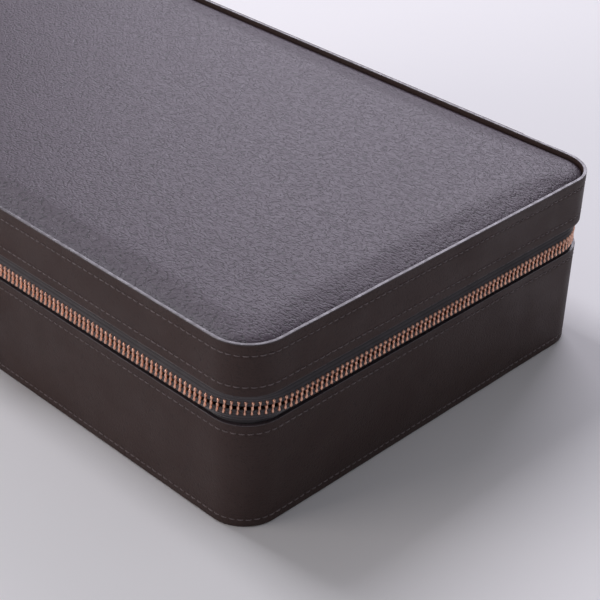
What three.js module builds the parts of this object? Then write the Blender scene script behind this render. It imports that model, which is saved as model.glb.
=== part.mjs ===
// A zip-around leather jewellery case: a board-built base and lid covered in leather, joined along the
// back by a leather spine, with a metal zip round the other three sides and two sliders that meet at
// the middle of the front. Millimetres, +Z up, front towards -Y. The origin is under the middle of the
// base, on the surface that the case stands on.

import * as THREE from "three";

// ---- Overall size ----
const LENGTH = 320;          // over the base walls, along X
const DEPTH = 200;           // over the base walls, along Y
const BASE_HEIGHT = 45.5;    // foot to the top edge of the base's leather band
const ZIP_OPENING = 12.5;    // between the two leather bands, where the zip shows
const LID_HEIGHT = 21.5;     // height of the lid's leather band
const CORNER_RADIUS = 16;    // upright corners of the base
const CORNER_STEPS = 8;      // facets in each upright corner
const GAP = 0.3;             // air left between pieces that touch

// ---- Leather and boards ----
const LEATHER = 1.4;         // side bands and bottom panel
const SPINE_LEATHER = 0.9;
const SPINE_LENGTH = 238;
const SPINE_HEM = 2;         // spine stops this far short of the foot
const SPINE_TOP_HEM = 0.5;   // and this far short of the lid's rim
const LID_OVERHANG = 0.6;    // lid band stands proud of the base band
const WALL_BOARD = 2.5;
const FLOOR_BOARD = 2.5;
const LID_TOP_BOARD = 2.5;
const LID_FOAM = 2.3;
const TOP_PANEL = 3;         // padded leather panel on the lid, at its crown
const PANEL_CROWN = 0.4;     // crown above the lid's rim
const PANEL_SHOULDER = 9;    // width of the sloping shoulder round the panel
const PANEL_EDGE = 0.5;      // thickness of the panel at the foot of its shoulder

// ---- Lining ----
const FLOOR_PAD = 3.5;
const LINING = 1.5;          // suede-covered card round the inside of the base
const COLLAR_RISE = 2;       // the lining stands this far up inside the lid
const COLLAR_CLEARANCE = 0.4;
const LID_LINING = 0.7;
const LID_PAD = 2;

// ---- Compartments ----
const RING_BAY = 92;         // clear length of the bay for rings
const ROLL_COUNT = 8;
const ROLL_SPACING = 1;      // between neighbouring ring rolls
const DIVIDER = 2.4;
const DIVIDER_HEIGHT = 34;
const COLUMNS = 3;           // compartments side by side, in two rows

// ---- Zip ----
const CHAIN_WIDTH = 6;
const CHAIN_DEPTH = 2.5;
const CHAIN_PROUD = 1.9;     // outer face of the teeth beyond the base band
const CHAIN_CHANNEL = 1.4;   // clear way along the middle for the sliders' posts
const TAPE = 0.5;
const TAPE_HIDDEN = 8;       // width of tape glued behind each band
const TAPE_END_CLEARANCE = 1;

// ---- Sliders and pulls ----
const SLIDER_LENGTH = 13;
const SLIDER_FACE_HEIGHT = 10;
const SLIDER_BACK_HEIGHT = 8;
const SLIDER_PLATE = 1.6;
const SLIDER_POST = 0.8;
const SLIDER_MEETING_GAP = 1;
const BRIDGE_WIDTH = 1.8;
const BRIDGE_INSET = 2.5;    // from the slider's end to the middle of the bridge's leg
const PULL_LENGTH = 32;
const PULL_WIDTH = 8;
const PULL_THICKNESS = 1.2;
const PULL_HOLE = 3.4;

// ---- Heights worked out from those sizes ----
const zipZ = BASE_HEIGHT + ZIP_OPENING / 2;
const lidEdgeZ = BASE_HEIGHT + ZIP_OPENING;
const rimZ = lidEdgeZ + LID_HEIGHT;
const floorBoardZ = LEATHER + GAP;
const floorPadZ = floorBoardZ + FLOOR_BOARD + GAP;
const floorZ = floorPadZ + FLOOR_PAD;
const panelTopZ = rimZ + PANEL_CROWN;
const panelFootZ = panelTopZ - TOP_PANEL;
const foamZ = panelFootZ - GAP - LID_FOAM;
const lidBoardZ = foamZ - GAP - LID_TOP_BOARD;
const lidInsideTopZ = lidBoardZ - GAP;
const collarTopZ = lidEdgeZ + COLLAR_RISE;

// ---- Distances out from the base's outer face, less than 0 towards the inside ----
const baseBandInner = -LEATHER;
const lowerTapeOuter = baseBandInner - GAP;
const wallBoardOuter = lowerTapeOuter - TAPE - GAP;
const liningOuter = wallBoardOuter - WALL_BOARD - GAP;
const liningInner = liningOuter - LINING;
const lidBandInner = LID_OVERHANG - LEATHER;
const upperTapeOuter = lidBandInner - GAP;
const lidBoardOuter = upperTapeOuter - TAPE - GAP;
const lidLiningInner = liningOuter + COLLAR_CLEARANCE;
const lidLiningOuter = lidLiningInner + LID_LINING;
const chainInner = CHAIN_PROUD - CHAIN_DEPTH;
const tapeAtChain = CHAIN_PROUD - CHAIN_DEPTH / 2 + TAPE / 2;
const spineBase = GAP;
const spineLid = LID_OVERHANG + GAP;

// ---- Inside the base ----
const insideX = LENGTH / 2 + liningInner;
const insideY = DEPTH / 2 + liningInner;
const bayEndX = RING_BAY - insideX;
const columnsStartX = bayEndX + DIVIDER;
const columnPitch = (insideX - columnsStartX + DIVIDER) / COLUMNS;

// ---- Sliders ----
const sliderX = (SLIDER_LENGTH + SLIDER_MEETING_GAP) / 2;
const faceInner = CHAIN_PROUD + GAP;
const faceOuter = faceInner + SLIDER_PLATE;
const backOuter = chainInner - GAP;
const bridgeFoot = faceOuter + GAP;
const pullInner = bridgeFoot + GAP;
const bridgeBar = pullInner + PULL_THICKNESS + GAP;
const bridgeLegX = SLIDER_LENGTH / 2 - BRIDGE_INSET;

// ---- Finishes ----
function finish(colour, roughness, metalness = 0) {
  return { color: colour, roughness, metalness, flatShading: true };
}
const BAND_LEATHER = finish(0x44302c, 0.5);
const PANEL_LEATHER = finish(0x6a6068, 0.42);
const BOARD = finish(0x8d8377, 0.9);
const FOAM = finish(0xd8d2c4, 0.95);
const SUEDE = finish(0x4a3a38, 0.95);
const TAPE_CLOTH = finish(0x17130f, 0.85);
const COPPER = finish(0xc98a6a, 0.3, 1);

function piece(name, geometry, look) {
  const mesh = new THREE.Mesh(geometry, new THREE.MeshStandardMaterial(look));
  mesh.name = name;
  return mesh;
}

function closedSolid(points, triangles) {
  const geometry = new THREE.BufferGeometry();
  geometry.setAttribute("position", new THREE.Float32BufferAttribute(points.flat(), 3));
  geometry.setIndex(triangles.flat());
  geometry.computeVertexNormals();
  return geometry;
}

// The plan of the case is a rounded rectangle. A station is a place on it: the middle of the corner's
// arc, or a place level with it on a straight wall, and the direction out through the wall.
function cornerStations(quarter) {
  const sideX = quarter === 0 || quarter === 3 ? 1 : -1;
  const sideY = quarter < 2 ? 1 : -1;
  return Array.from({ length: CORNER_STEPS + 1 }, (_, step) => {
    const angle = (quarter + step / CORNER_STEPS) * Math.PI / 2;
    return {
      x: sideX * (LENGTH / 2 - CORNER_RADIUS),
      y: sideY * (DEPTH / 2 - CORNER_RADIUS),
      outX: Math.cos(angle),
      outY: Math.sin(angle),
    };
  });
}

function backStation(x) {
  return { x, y: DEPTH / 2 - CORNER_RADIUS, outX: 0, outY: 1 };
}

function stationPoint(station, offset, z) {
  const reach = CORNER_RADIUS + offset;
  return [station.x + reach * station.outX, station.y + reach * station.outY, z];
}

const wholeWay = [0, 1, 2, 3].flatMap(cornerStations);
const zipWay = [
  backStation(-SPINE_LENGTH / 2 - TAPE_END_CLEARANCE),
  ...[1, 2, 3, 0].flatMap(cornerStations),
  backStation(SPINE_LENGTH / 2 + TAPE_END_CLEARANCE),
];

// Carries a section, given anticlockwise as [offset, z] pairs, round the stations.
function wall(section, stations) {
  const closed = stations === wholeWay;
  const count = section.length;
  const points = stations.flatMap((station) => section.map(([offset, z]) => stationPoint(station, offset, z)));
  const triangles = [];
  const strips = closed ? stations.length : stations.length - 1;
  for (let strip = 0; strip < strips; strip += 1) {
    const here = strip * count;
    const there = ((strip + 1) % stations.length) * count;
    for (let edge = 0; edge < count; edge += 1) {
      const next = (edge + 1) % count;
      triangles.push([here + edge, there + edge, there + next], [here + edge, there + next, here + next]);
    }
  }
  if (!closed) {
    const outline = section.map(([offset, z]) => new THREE.Vector2(offset, z));
    const last = (stations.length - 1) * count;
    for (const [a, b, c] of THREE.ShapeUtils.triangulateShape(outline, [])) {
      triangles.push([a, b, c], [last + a, last + c, last + b]);
    }
  }
  return closedSolid(points, triangles);
}

function uprightWall(outer, inner, bottom, top) {
  return wall([[inner, bottom], [outer, bottom], [outer, top], [inner, top]], wholeWay);
}

// A solid slab built of [offset, z] outlines from the bottom up.
function slab(...layers) {
  const count = wholeWay.length;
  const points = layers.flatMap(([offset, z]) => wholeWay.map((station) => stationPoint(station, offset, z)));
  const outline = wholeWay.map((station) => new THREE.Vector2(...stationPoint(station, 0, 0)));
  const top = (layers.length - 1) * count;
  const triangles = [];
  for (const [a, b, c] of THREE.ShapeUtils.triangulateShape(outline, [])) {
    triangles.push([a, c, b], [top + a, top + b, top + c]);
  }
  for (let level = 0; level < top; level += count) {
    for (let side = 0; side < count; side += 1) {
      const next = (side + 1) % count;
      const [a, b] = [level + side, level + next];
      triangles.push([a, b, b + count], [a, b + count, a + count]);
    }
  }
  return closedSolid(points, triangles);
}

function block(name, look, [x0, x1], [y0, y1], [z0, z1]) {
  const mesh = piece(name, new THREE.BoxGeometry(x1 - x0, y1 - y0, z1 - z0), look);
  mesh.position.set((x0 + x1) / 2, (y0 + y1) / 2, (z0 + z1) / 2);
  return mesh;
}

// ---- Base ----
function baseShell() {
  const insideBand = baseBandInner - GAP;
  return [
    piece("bottom_panel", slab([insideBand, 0], [insideBand, LEATHER]), BAND_LEATHER),
    piece("base_side_band", uprightWall(0, baseBandInner, 0, BASE_HEIGHT), BAND_LEATHER),
    piece("base_floor_board", slab([insideBand, floorBoardZ], [insideBand, floorPadZ - GAP]), BOARD),
    piece("base_wall_board", uprightWall(wallBoardOuter, liningOuter + GAP, floorPadZ, BASE_HEIGHT - GAP), BOARD),
    piece("base_floor_pad", slab([liningOuter, floorPadZ], [liningOuter, floorZ]), SUEDE),
    piece("base_lining_wall", uprightWall(liningOuter, liningInner, floorZ + GAP, collarTopZ), SUEDE),
  ];
}

function dividers() {
  const heights = [floorZ + GAP, floorZ + GAP + DIVIDER_HEIGHT];
  const half = DIVIDER / 2;
  const pieces = [
    block("section_divider", SUEDE, [bayEndX, columnsStartX], [GAP - insideY, insideY - GAP], heights),
    block("long_divider", SUEDE, [columnsStartX + GAP, insideX - GAP], [-half, half], heights),
  ];
  const rows = [["front", GAP - insideY, -half - GAP], ["back", half + GAP, insideY - GAP]];
  for (let column = 1; column < COLUMNS; column += 1) {
    const x = columnsStartX + column * columnPitch - DIVIDER;
    for (const [row, near, far] of rows) {
      pieces.push(block(`cross_divider_${row}_${column}`, SUEDE, [x, x + DIVIDER], [near, far], heights));
    }
  }
  return pieces;
}

// Foam rolls covered in suede lie side by side along X; rings are pushed down between them.
function ringRolls() {
  const pitch = (2 * insideY) / ROLL_COUNT;
  const radius = (pitch - ROLL_SPACING) / 2;
  const straight = RING_BAY - 2 * GAP - 2 * radius;
  return Array.from({ length: ROLL_COUNT }, (_, index) => {
    const roll = piece(`ring_roll_${index + 1}`, new THREE.CapsuleGeometry(radius, straight, 4, 16), SUEDE);
    roll.rotation.z = Math.PI / 2;
    roll.position.set(bayEndX - RING_BAY / 2, (index + 0.5) * pitch - insideY, floorZ + GAP + radius);
    return roll;
  });
}

// ---- Lid ----
function lidShell() {
  const insideBand = lidBandInner - GAP;
  const lining = uprightWall(lidLiningOuter, lidLiningInner, lidEdgeZ + GAP, lidInsideTopZ);
  const padOffset = lidLiningInner - GAP;
  return [
    piece("lid_side_band", uprightWall(LID_OVERHANG, lidBandInner, lidEdgeZ, rimZ), BAND_LEATHER),
    piece("lid_wall_board", uprightWall(lidBoardOuter, lidLiningOuter + GAP, lidEdgeZ + GAP, lidInsideTopZ), BOARD),
    piece("lid_top_board", slab([insideBand, lidBoardZ], [insideBand, foamZ - GAP]), BOARD),
    piece("lid_foam", slab([insideBand, foamZ], [insideBand, panelFootZ - GAP]), FOAM),
    piece("lid_top_panel", topPanel(insideBand), PANEL_LEATHER),
    piece("lid_lining_wall", lining, SUEDE),
    piece("lid_lining_pad", slab([padOffset, lidInsideTopZ - LID_PAD], [padOffset, lidInsideTopZ]), SUEDE),
  ];
}

function topPanel(offset) {
  return slab(
    [offset, panelFootZ],
    [offset, panelFootZ + PANEL_EDGE],
    [offset - PANEL_SHOULDER, panelTopZ],
  );
}

// ---- Spine: one leather panel on the back, in two halves that meet at the hinge line ----
function spineHalf(name, offset, bottom, top) {
  const back = DEPTH / 2 + offset;
  const half = SPINE_LENGTH / 2;
  return block(name, BAND_LEATHER, [-half, half], [back, back + SPINE_LEATHER], [bottom, top]);
}

// ---- Zip ----
// side is 1 for the lid's half of the chain and -1 for the base's half.
function zipHalf(side, hiddenOuter) {
  const name = side > 0 ? "upper" : "lower";
  const chainNear = CHAIN_CHANNEL / 2;
  const chainFar = CHAIN_WIDTH / 2;
  const teeth = [
    [chainInner, chainNear], [CHAIN_PROUD, chainNear], [CHAIN_PROUD, chainFar], [chainInner, chainFar],
  ];
  const edge = ZIP_OPENING / 2;
  const tape = [
    [tapeAtChain - TAPE, chainFar + GAP],
    [tapeAtChain, chainFar + GAP],
    [hiddenOuter, edge],
    [hiddenOuter, edge + TAPE_HIDDEN],
    [hiddenOuter - TAPE, edge + TAPE_HIDDEN],
    [hiddenOuter - TAPE, edge],
  ];
  return [
    piece(`zip_teeth_${name}`, wall(zipSection(teeth, side), zipWay), COPPER),
    piece(`zip_tape_${name}`, wall(zipSection(tape, side), zipWay), TAPE_CLOTH),
  ];
}

// Heights in the section are measured from the middle of the zip, up for the lid and down for the base.
function zipSection(section, side) {
  const placed = section.map(([offset, height]) => [offset, zipZ + side * height]);
  return side > 0 ? placed : placed.reverse();
}

// ---- Sliders ----
function alongX(outline, length) {
  const geometry = new THREE.ExtrudeGeometry(new THREE.Shape(outline), { depth: length, bevelEnabled: false });
  const yzx = new THREE.Matrix4().makeBasis(
    new THREE.Vector3(0, 1, 0),
    new THREE.Vector3(0, 0, 1),
    new THREE.Vector3(1, 0, 0),
  );
  return geometry.applyMatrix4(yzx);
}

function frontY(offset) {
  return -DEPTH / 2 - offset;
}

// Face plate and back plate joined by the post that rides in the channel of the chain.
function sliderBody(name, middle) {
  const plates = [
    [faceOuter, SLIDER_FACE_HEIGHT / 2],
    [faceInner, SLIDER_FACE_HEIGHT / 2],
    [faceInner, SLIDER_POST / 2],
    [backOuter, SLIDER_POST / 2],
    [backOuter, SLIDER_BACK_HEIGHT / 2],
    [backOuter - SLIDER_PLATE, SLIDER_BACK_HEIGHT / 2],
  ];
  const upper = plates.map(([offset, height]) => new THREE.Vector2(frontY(offset), zipZ + height));
  const lower = plates.map(([offset, height]) => new THREE.Vector2(frontY(offset), zipZ - height));
  const body = piece(name, alongX([...lower, ...upper.reverse()], SLIDER_LENGTH), COPPER);
  body.position.x = middle - SLIDER_LENGTH / 2;
  return body;
}

// Staple on the face plate that holds the pull: two legs and a bar.
function sliderBridge(name, middle) {
  const near = bridgeLegX - BRIDGE_WIDTH / 2;
  const far = bridgeLegX + BRIDGE_WIDTH / 2;
  const outer = bridgeBar + BRIDGE_WIDTH;
  const arch = [[-far, bridgeFoot], [-near, bridgeFoot], [-near, bridgeBar], [near, bridgeBar],
    [near, bridgeFoot], [far, bridgeFoot], [far, outer], [-far, outer]];
  const outline = arch.map(([x, offset]) => new THREE.Vector2(x, frontY(offset)));
  const shape = new THREE.Shape(outline);
  const bridge = piece(name, new THREE.ExtrudeGeometry(shape, { depth: BRIDGE_WIDTH, bevelEnabled: false }), COPPER);
  bridge.position.set(middle, 0, zipZ - BRIDGE_WIDTH / 2);
  return bridge;
}

// A flat tab with round ends, holed at the top, hanging from one leg of the bridge.
function pullTab(name, legX) {
  const radius = PULL_WIDTH / 2;
  const shape = new THREE.Shape();
  shape.absarc(0, 0, radius, 0, Math.PI);
  shape.absarc(0, PULL_WIDTH - PULL_LENGTH, radius, Math.PI, 2 * Math.PI);
  shape.closePath();
  const hole = new THREE.Path();
  hole.absarc(0, 0, PULL_HOLE / 2, 0, 2 * Math.PI, true);
  shape.holes.push(hole);
  const options = { depth: PULL_THICKNESS, bevelEnabled: false, curveSegments: 10 };
  const tab = piece(name, new THREE.ExtrudeGeometry(shape, options), COPPER);
  tab.rotation.x = Math.PI / 2;
  tab.position.set(legX, frontY(pullInner), zipZ);
  return tab;
}

function slider(name, side) {
  const group = new THREE.Group();
  group.add(
    sliderBody(`slider_body_${name}`, side * sliderX),
    sliderBridge(`slider_bridge_${name}`, side * sliderX),
    pullTab(`pull_tab_${name}`, side * (sliderX + bridgeLegX)),
  );
  return group;
}

// ---- Assembly ----
const base = new THREE.Group();
base.add(...baseShell(), ...dividers(), ...ringRolls(), ...zipHalf(-1, lowerTapeOuter));
base.add(spineHalf("spine_base", spineBase, SPINE_HEM, zipZ - GAP / 2));

const lid = new THREE.Group();
lid.add(...lidShell(), ...zipHalf(1, upperTapeOuter));
lid.add(spineHalf("spine_lid", spineLid, zipZ + GAP / 2, rimZ - SPINE_TOP_HEM));

const jewelleryCase = new THREE.Group();
jewelleryCase.add(base, lid, slider("right", 1), slider("left", -1));

export default jewelleryCase;
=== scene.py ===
# %% [markdown]
# A zip-around jewellery case in leather. The case is a board box covered in leather: a base, a padded
# lid on a leather spine, and a metal zip round the other three sides. The CAD model gives every size and
# every moving body. This lesson dresses it: leather bands with sewn edges, a padded top, zip teeth one by
# one, and a suede inside with ring rolls. Lengths are in metres, as Blender has them.

# %% Load the frame
import math
import random

import bmesh
import bpy
import numpy as np
from mathutils import Matrix, Quaternion, Vector, noise


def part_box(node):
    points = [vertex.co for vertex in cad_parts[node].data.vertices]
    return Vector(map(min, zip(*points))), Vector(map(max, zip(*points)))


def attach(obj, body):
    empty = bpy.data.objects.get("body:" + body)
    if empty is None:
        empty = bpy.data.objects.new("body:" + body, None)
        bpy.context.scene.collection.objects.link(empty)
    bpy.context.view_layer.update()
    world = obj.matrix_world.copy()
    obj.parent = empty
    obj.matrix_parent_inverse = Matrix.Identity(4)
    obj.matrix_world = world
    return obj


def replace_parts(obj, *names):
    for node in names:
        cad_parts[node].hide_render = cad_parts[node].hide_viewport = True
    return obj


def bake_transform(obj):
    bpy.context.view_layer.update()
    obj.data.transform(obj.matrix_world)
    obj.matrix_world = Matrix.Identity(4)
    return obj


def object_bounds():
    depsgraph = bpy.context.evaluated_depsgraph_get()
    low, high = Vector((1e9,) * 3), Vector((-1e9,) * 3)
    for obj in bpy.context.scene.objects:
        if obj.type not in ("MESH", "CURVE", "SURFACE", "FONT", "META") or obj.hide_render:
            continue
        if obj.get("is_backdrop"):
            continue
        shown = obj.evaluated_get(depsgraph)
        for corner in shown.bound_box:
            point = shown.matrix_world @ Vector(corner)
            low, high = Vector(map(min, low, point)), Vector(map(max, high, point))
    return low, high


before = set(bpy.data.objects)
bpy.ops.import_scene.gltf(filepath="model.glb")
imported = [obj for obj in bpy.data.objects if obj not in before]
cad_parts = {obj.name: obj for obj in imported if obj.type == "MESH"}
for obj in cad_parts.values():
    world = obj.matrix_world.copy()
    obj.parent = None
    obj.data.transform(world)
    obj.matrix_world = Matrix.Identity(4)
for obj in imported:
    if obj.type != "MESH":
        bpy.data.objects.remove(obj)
cad_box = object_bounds()
MM = 0.001
random.seed(7)

# %% [markdown]
# Sizes first. Each one is read from a CAD node, so the looks follow the model if it changes. The upright
# corners are arcs; their radius is found from where the straight front of the base band ends.

# %% Sizes from the frame
base_low, base_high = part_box("base_side_band")
lid_low, lid_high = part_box("lid_side_band")
chain_low, chain_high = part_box("zip_teeth_lower")[0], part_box("zip_teeth_upper")[1]
half_length, half_depth = base_high.x, base_high.y
zip_z = (chain_low.z + chain_high.z) / 2
zip_proud = chain_high.x - half_length
lid_proud = lid_high.x - half_length
LEATHER = 1.4 * MM
front = [v.co.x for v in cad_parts["base_side_band"].data.vertices if v.co.y < base_low.y + 0.01 * MM]
corner_radius = half_length - max(front)
spine_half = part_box("spine_base")[1].x
print(f"corner radius {corner_radius / MM:.1f} mm, zip at {zip_z / MM:.2f} mm")
print(f"spine {2 * spine_half / MM:.0f} mm wide")

# %% [markdown]
# The camera stands to the right of the front corner and looks down on it, with a long lens and a slight
# roll. It is placed from the near corner of the lid's rim, because that corner is what the eye lands on.

# %% Camera
VIEW_AZIMUTH = math.radians(43.34)
VIEW_ELEVATION = math.radians(32.40)
VIEW_ROLL = math.radians(2.34)
VIEW_DISTANCE = 0.5589
AIM_FROM_CORNER = Vector((-12.2, 37.6, 0)) * MM


def make_camera():
    data = bpy.data.cameras.new("camera")
    data.lens = 96
    data.clip_start = 0.02
    camera = bpy.data.objects.new("camera", data)
    bpy.context.scene.collection.objects.link(camera)
    aim = Vector((half_length, -half_depth, lid_high.z)) + AIM_FROM_CORNER
    level = math.cos(VIEW_ELEVATION)
    side, ahead = math.sin(VIEW_AZIMUTH) * level, -math.cos(VIEW_AZIMUTH) * level
    back = Vector((side, ahead, math.sin(VIEW_ELEVATION)))
    camera.location = aim + back * VIEW_DISTANCE
    camera.rotation_mode = "QUATERNION"
    camera.rotation_quaternion = (-back).to_track_quat("-Z", "Y") @ Quaternion((0, 0, 1), VIEW_ROLL)
    bpy.context.scene.camera = camera
    print("camera at", [round(value, 3) for value in camera.location])


make_camera()

# %% [markdown]
# Light. The top of the case shines because a broad cool light behind it is mirrored in the leather, and
# the shoulder of the padding catches a second light overhead on the left. The walls get only a weak warm
# fill, which keeps them dark and brown. Large soft area lights do this without hard edges.

# %% Floor and lights


def area_light(name, place, target, size, watts, colour):
    data = bpy.data.lights.new(name, "AREA")
    data.shape = "RECTANGLE"
    data.size, data.size_y = size
    data.energy = watts
    data.color = colour
    light = bpy.data.objects.new(name, data)
    bpy.context.scene.collection.objects.link(light)
    light.location = place
    light.rotation_euler = (Vector(target) - Vector(place)).to_track_quat("-Z", "Y").to_euler()


def make_floor(reach=6.0):
    mesh = bpy.data.meshes.new("floor")
    corners = [(-reach, -reach, 0), (reach, -reach, 0), (reach, reach, 0), (-reach, reach, 0)]
    mesh.from_pydata(corners, [], [(0, 1, 2, 3)])
    floor = bpy.data.objects.new("floor", mesh)
    bpy.context.scene.collection.objects.link(floor)
    floor.location.z = -0.2 * MM
    floor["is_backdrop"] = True
    return floor


floor = make_floor()
area_light("back_window", (-1.0, 1.5, 1.15), (0, 0, 0.05), (1.5, 0.9), 21, (0.90, 0.86, 1.0))
area_light("overhead_left", (-1.05, -0.05, 1.5), (0.05, -0.05, 0.07), (0.5, 0.9), 15, (0.93, 0.92, 1.0))
area_light("front_fill", (-0.9, -1.7, 0.55), (0.05, -0.1, 0.03), (1.2, 0.6), 12, (1.0, 0.90, 0.86))
world = bpy.data.worlds.new("studio")
world.use_nodes = True
world.node_tree.nodes["Background"].inputs["Color"].default_value = (0.92, 0.92, 1.0, 1)
world.node_tree.nodes["Background"].inputs["Strength"].default_value = 0.30
bpy.context.scene.world = world
bpy.context.scene.view_settings.view_transform = "Standard"
print("lights:", [light.name for light in bpy.data.lights])

# %% [markdown]
# Node helpers. One call adds a node, sets its options and fills or links its inputs, so a material reads
# from top to bottom. Effects that several finishes share are node groups with named sockets.

# %% Node helpers


def node(tree, kind, inputs=None, **options):
    made = tree.nodes.new(kind)
    for option, value in options.items():
        setattr(made, option, value)
    for name, value in (inputs or {}).items():
        if isinstance(value, bpy.types.NodeSocket):
            tree.links.new(value, made.inputs[name])
        else:
            made.inputs[name].default_value = value
    return made


def maths(tree, operation, first, second=0.0, third=0.0):
    return node(tree, "ShaderNodeMath", {0: first, 1: second, 2: third}, operation=operation).outputs[0]


def vector_maths(tree, operation, first, second, third=(0, 0, 0)):
    made = node(tree, "ShaderNodeVectorMath", {0: first, 1: second, 2: third}, operation=operation)
    return made.outputs[0]


def ramp(tree, value, low, high, to_low=0.0, to_high=1.0):
    ends = {"Value": value, "From Min": low, "From Max": high, "To Min": to_low, "To Max": to_high}
    return node(tree, "ShaderNodeMapRange", ends, interpolation_type="SMOOTHSTEP").outputs["Result"]


def mix_colour(tree, factor, first, second):
    FIRST_COLOUR, SECOND_COLOUR, COLOUR_OUT = 6, 7, 2
    inputs = {0: factor, FIRST_COLOUR: first, SECOND_COLOUR: second}
    made = node(tree, "ShaderNodeMix", inputs, data_type="RGBA")
    return made.outputs[COLOUR_OUT]


def noise_value(tree, vector, scale, detail=2.0, roughness=0.5):
    inputs = {"Vector": vector, "Scale": scale, "Detail": detail, "Roughness": roughness}
    return node(tree, "ShaderNodeTexNoise", inputs).outputs["Fac"]


def effect(name, inputs, outputs):
    tree = bpy.data.node_groups.new(name, "ShaderNodeTree")
    for label, kind, value in inputs:
        socket = tree.interface.new_socket(label, in_out="INPUT", socket_type=f"NodeSocket{kind}")
        if value is not None:
            socket.default_value = value
    for label, kind in outputs:
        tree.interface.new_socket(label, in_out="OUTPUT", socket_type=f"NodeSocket{kind}")
    return tree, tree.nodes.new("NodeGroupInput").outputs, tree.nodes.new("NodeGroupOutput").inputs


def use(tree, group, **inputs):
    made = tree.nodes.new("ShaderNodeGroup")
    made.node_tree = group
    for name, value in inputs.items():
        socket = made.inputs[name.replace("_", " ")]
        if isinstance(value, bpy.types.NodeSocket):
            tree.links.new(value, socket)
        else:
            socket.default_value = value
    return made.outputs


# %% [markdown]
# Leather grain. Embossed hide is a field of small cushions with creases between them. A Voronoi texture
# makes the cushions: near a cell's middle the height is greatest, and where the distance to the middle
# is large lies a crease. One Voronoi is enough for both, which keeps rendering quick. A noise bends the
# cells first, so that they don't look like a mosaic.

# %% Leather grain group


def make_grain():
    tree, given, result = effect(
        "leather_grain",
        [("Vector", "Vector", None), ("Pebbles per metre", "Float", 900.0), ("Stretch", "Vector", (1, 1, 1)),
         ("Crease width", "Float", 0.12), ("Fine grain", "Float", 0.15)],
        [("Height", "Float"), ("Crease", "Float")])
    scaled = node(tree, "ShaderNodeVectorMath", {0: given["Vector"], "Scale": given["Pebbles per metre"]},
                  operation="SCALE").outputs[0]
    stretched = vector_maths(tree, "MULTIPLY", scaled, given["Stretch"])
    slow = {"Vector": stretched, "Scale": 0.45, "Detail": 0.0}
    bend = node(tree, "ShaderNodeTexNoise", slow).outputs["Color"]
    centred = vector_maths(tree, "SUBTRACT", bend, (0.5, 0.5, 0.5))
    bent = vector_maths(tree, "MULTIPLY_ADD", centred, (1.7, 1.7, 1.7), stretched)
    middle = node(tree, "ShaderNodeTexVoronoi", {"Vector": bent, "Scale": 1.0}).outputs["Distance"]
    start = maths(tree, "SUBTRACT", 0.78, given["Crease width"])
    plateau = ramp(tree, middle, start, 0.8, 1.0, 0.0)
    fine = noise_value(tree, stretched, 3.5, 1.0)
    body = maths(tree, "MULTIPLY_ADD", plateau, 0.4, maths(tree, "MULTIPLY_ADD", middle, -0.7, 0.6))
    tree.links.new(maths(tree, "MULTIPLY_ADD", fine, given["Fine grain"], body), result["Height"])
    tree.links.new(maths(tree, "SUBTRACT", 1.0, plateau), result["Crease"])
    return tree


LEATHER_GRAIN = make_grain()

# %% [markdown]
# Tone drift. No hide or cloth is one even colour. This group mixes two tones with a slow noise, and lets
# a mask, such as the creases of the grain, pull the result towards a deep shadow tone.

# %% Tone drift group


def make_drift():
    tree, given, result = effect(
        "tone_drift",
        [("Vector", "Vector", None), ("Patches per metre", "Float", 25.0), ("Tone", "Color", None),
         ("Other tone", "Color", None), ("Deep", "Color", (0.004, 0.003, 0.003, 1)),
         ("Deepen", "Float", 0.0)],
        [("Color", "Color")])
    slow = noise_value(tree, given["Vector"], given["Patches per metre"], 2.0, 0.6)
    patch = ramp(tree, slow, 0.3, 0.7)
    mixed = mix_colour(tree, patch, given["Tone"], given["Other tone"])
    tree.links.new(mix_colour(tree, given["Deepen"], mixed, given["Deep"]), result["Color"])
    return tree


TONE_DRIFT = make_drift()

# %% [markdown]
# Weave. Zip tape is a twill of fine ribs across the tape. Two sine waves, one along and one across, give
# the ribs and the cross threads; they run on the mesh's own UV map, which is laid in metres.

# %% Weave group


def make_weave():
    tree, given, result = effect(
        "weave",
        [("Run", "Vector", None), ("Ribs per metre", "Float", 1400.0),
         ("Threads per metre", "Float", 900.0)],
        [("Height", "Float"), ("Gap", "Float")])
    parts = node(tree, "ShaderNodeSeparateXYZ", {0: given["Run"]}).outputs
    turn = 2 * math.pi

    def wave(value, per_metre):
        phase = maths(tree, "MULTIPLY", maths(tree, "MULTIPLY", value, per_metre), turn)
        return maths(tree, "MULTIPLY_ADD", maths(tree, "SINE", phase), 0.5, 0.5)

    slanted = maths(tree, "ADD", parts["X"], parts["Y"])
    ribs = wave(slanted, given["Ribs per metre"])
    height = maths(tree, "MULTIPLY", ribs, wave(parts["Y"], given["Threads per metre"]))
    tree.links.new(height, result["Height"])
    tree.links.new(ramp(tree, height, 0.0, 0.35, 1.0, 0.0), result["Gap"])
    return tree


WEAVE = make_weave()
print("groups:", [group.name for group in bpy.data.node_groups])

# %% [markdown]
# Finishes. Each one is a Principled surface whose colour, roughness and bump come from the groups above.
# Values that are the same all over stay on the shader's own sockets. A finish that a piece wears is kept
# as a pair: the CAD material slot that it stands for, and the Blender material.

# %% Material helpers


def start_material(name, **sockets):
    material = bpy.data.materials.new(name)
    material.use_nodes = True
    tree = material.node_tree
    shader = tree.nodes["Principled BSDF"]
    for label, value in sockets.items():
        shader.inputs[label.replace("_", " ")].default_value = value
    place = node(tree, "ShaderNodeTexCoord").outputs["Object"]
    return material, tree, shader, place


def tones(tree, place, patches, tone, other, deepen=0.0, **deep):
    drift = use(tree, TONE_DRIFT, Vector=place, Patches_per_metre=patches, Tone=(*tone, 1),
                Other_tone=(*other, 1), Deepen=deepen, **deep)
    return drift["Color"]


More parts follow.
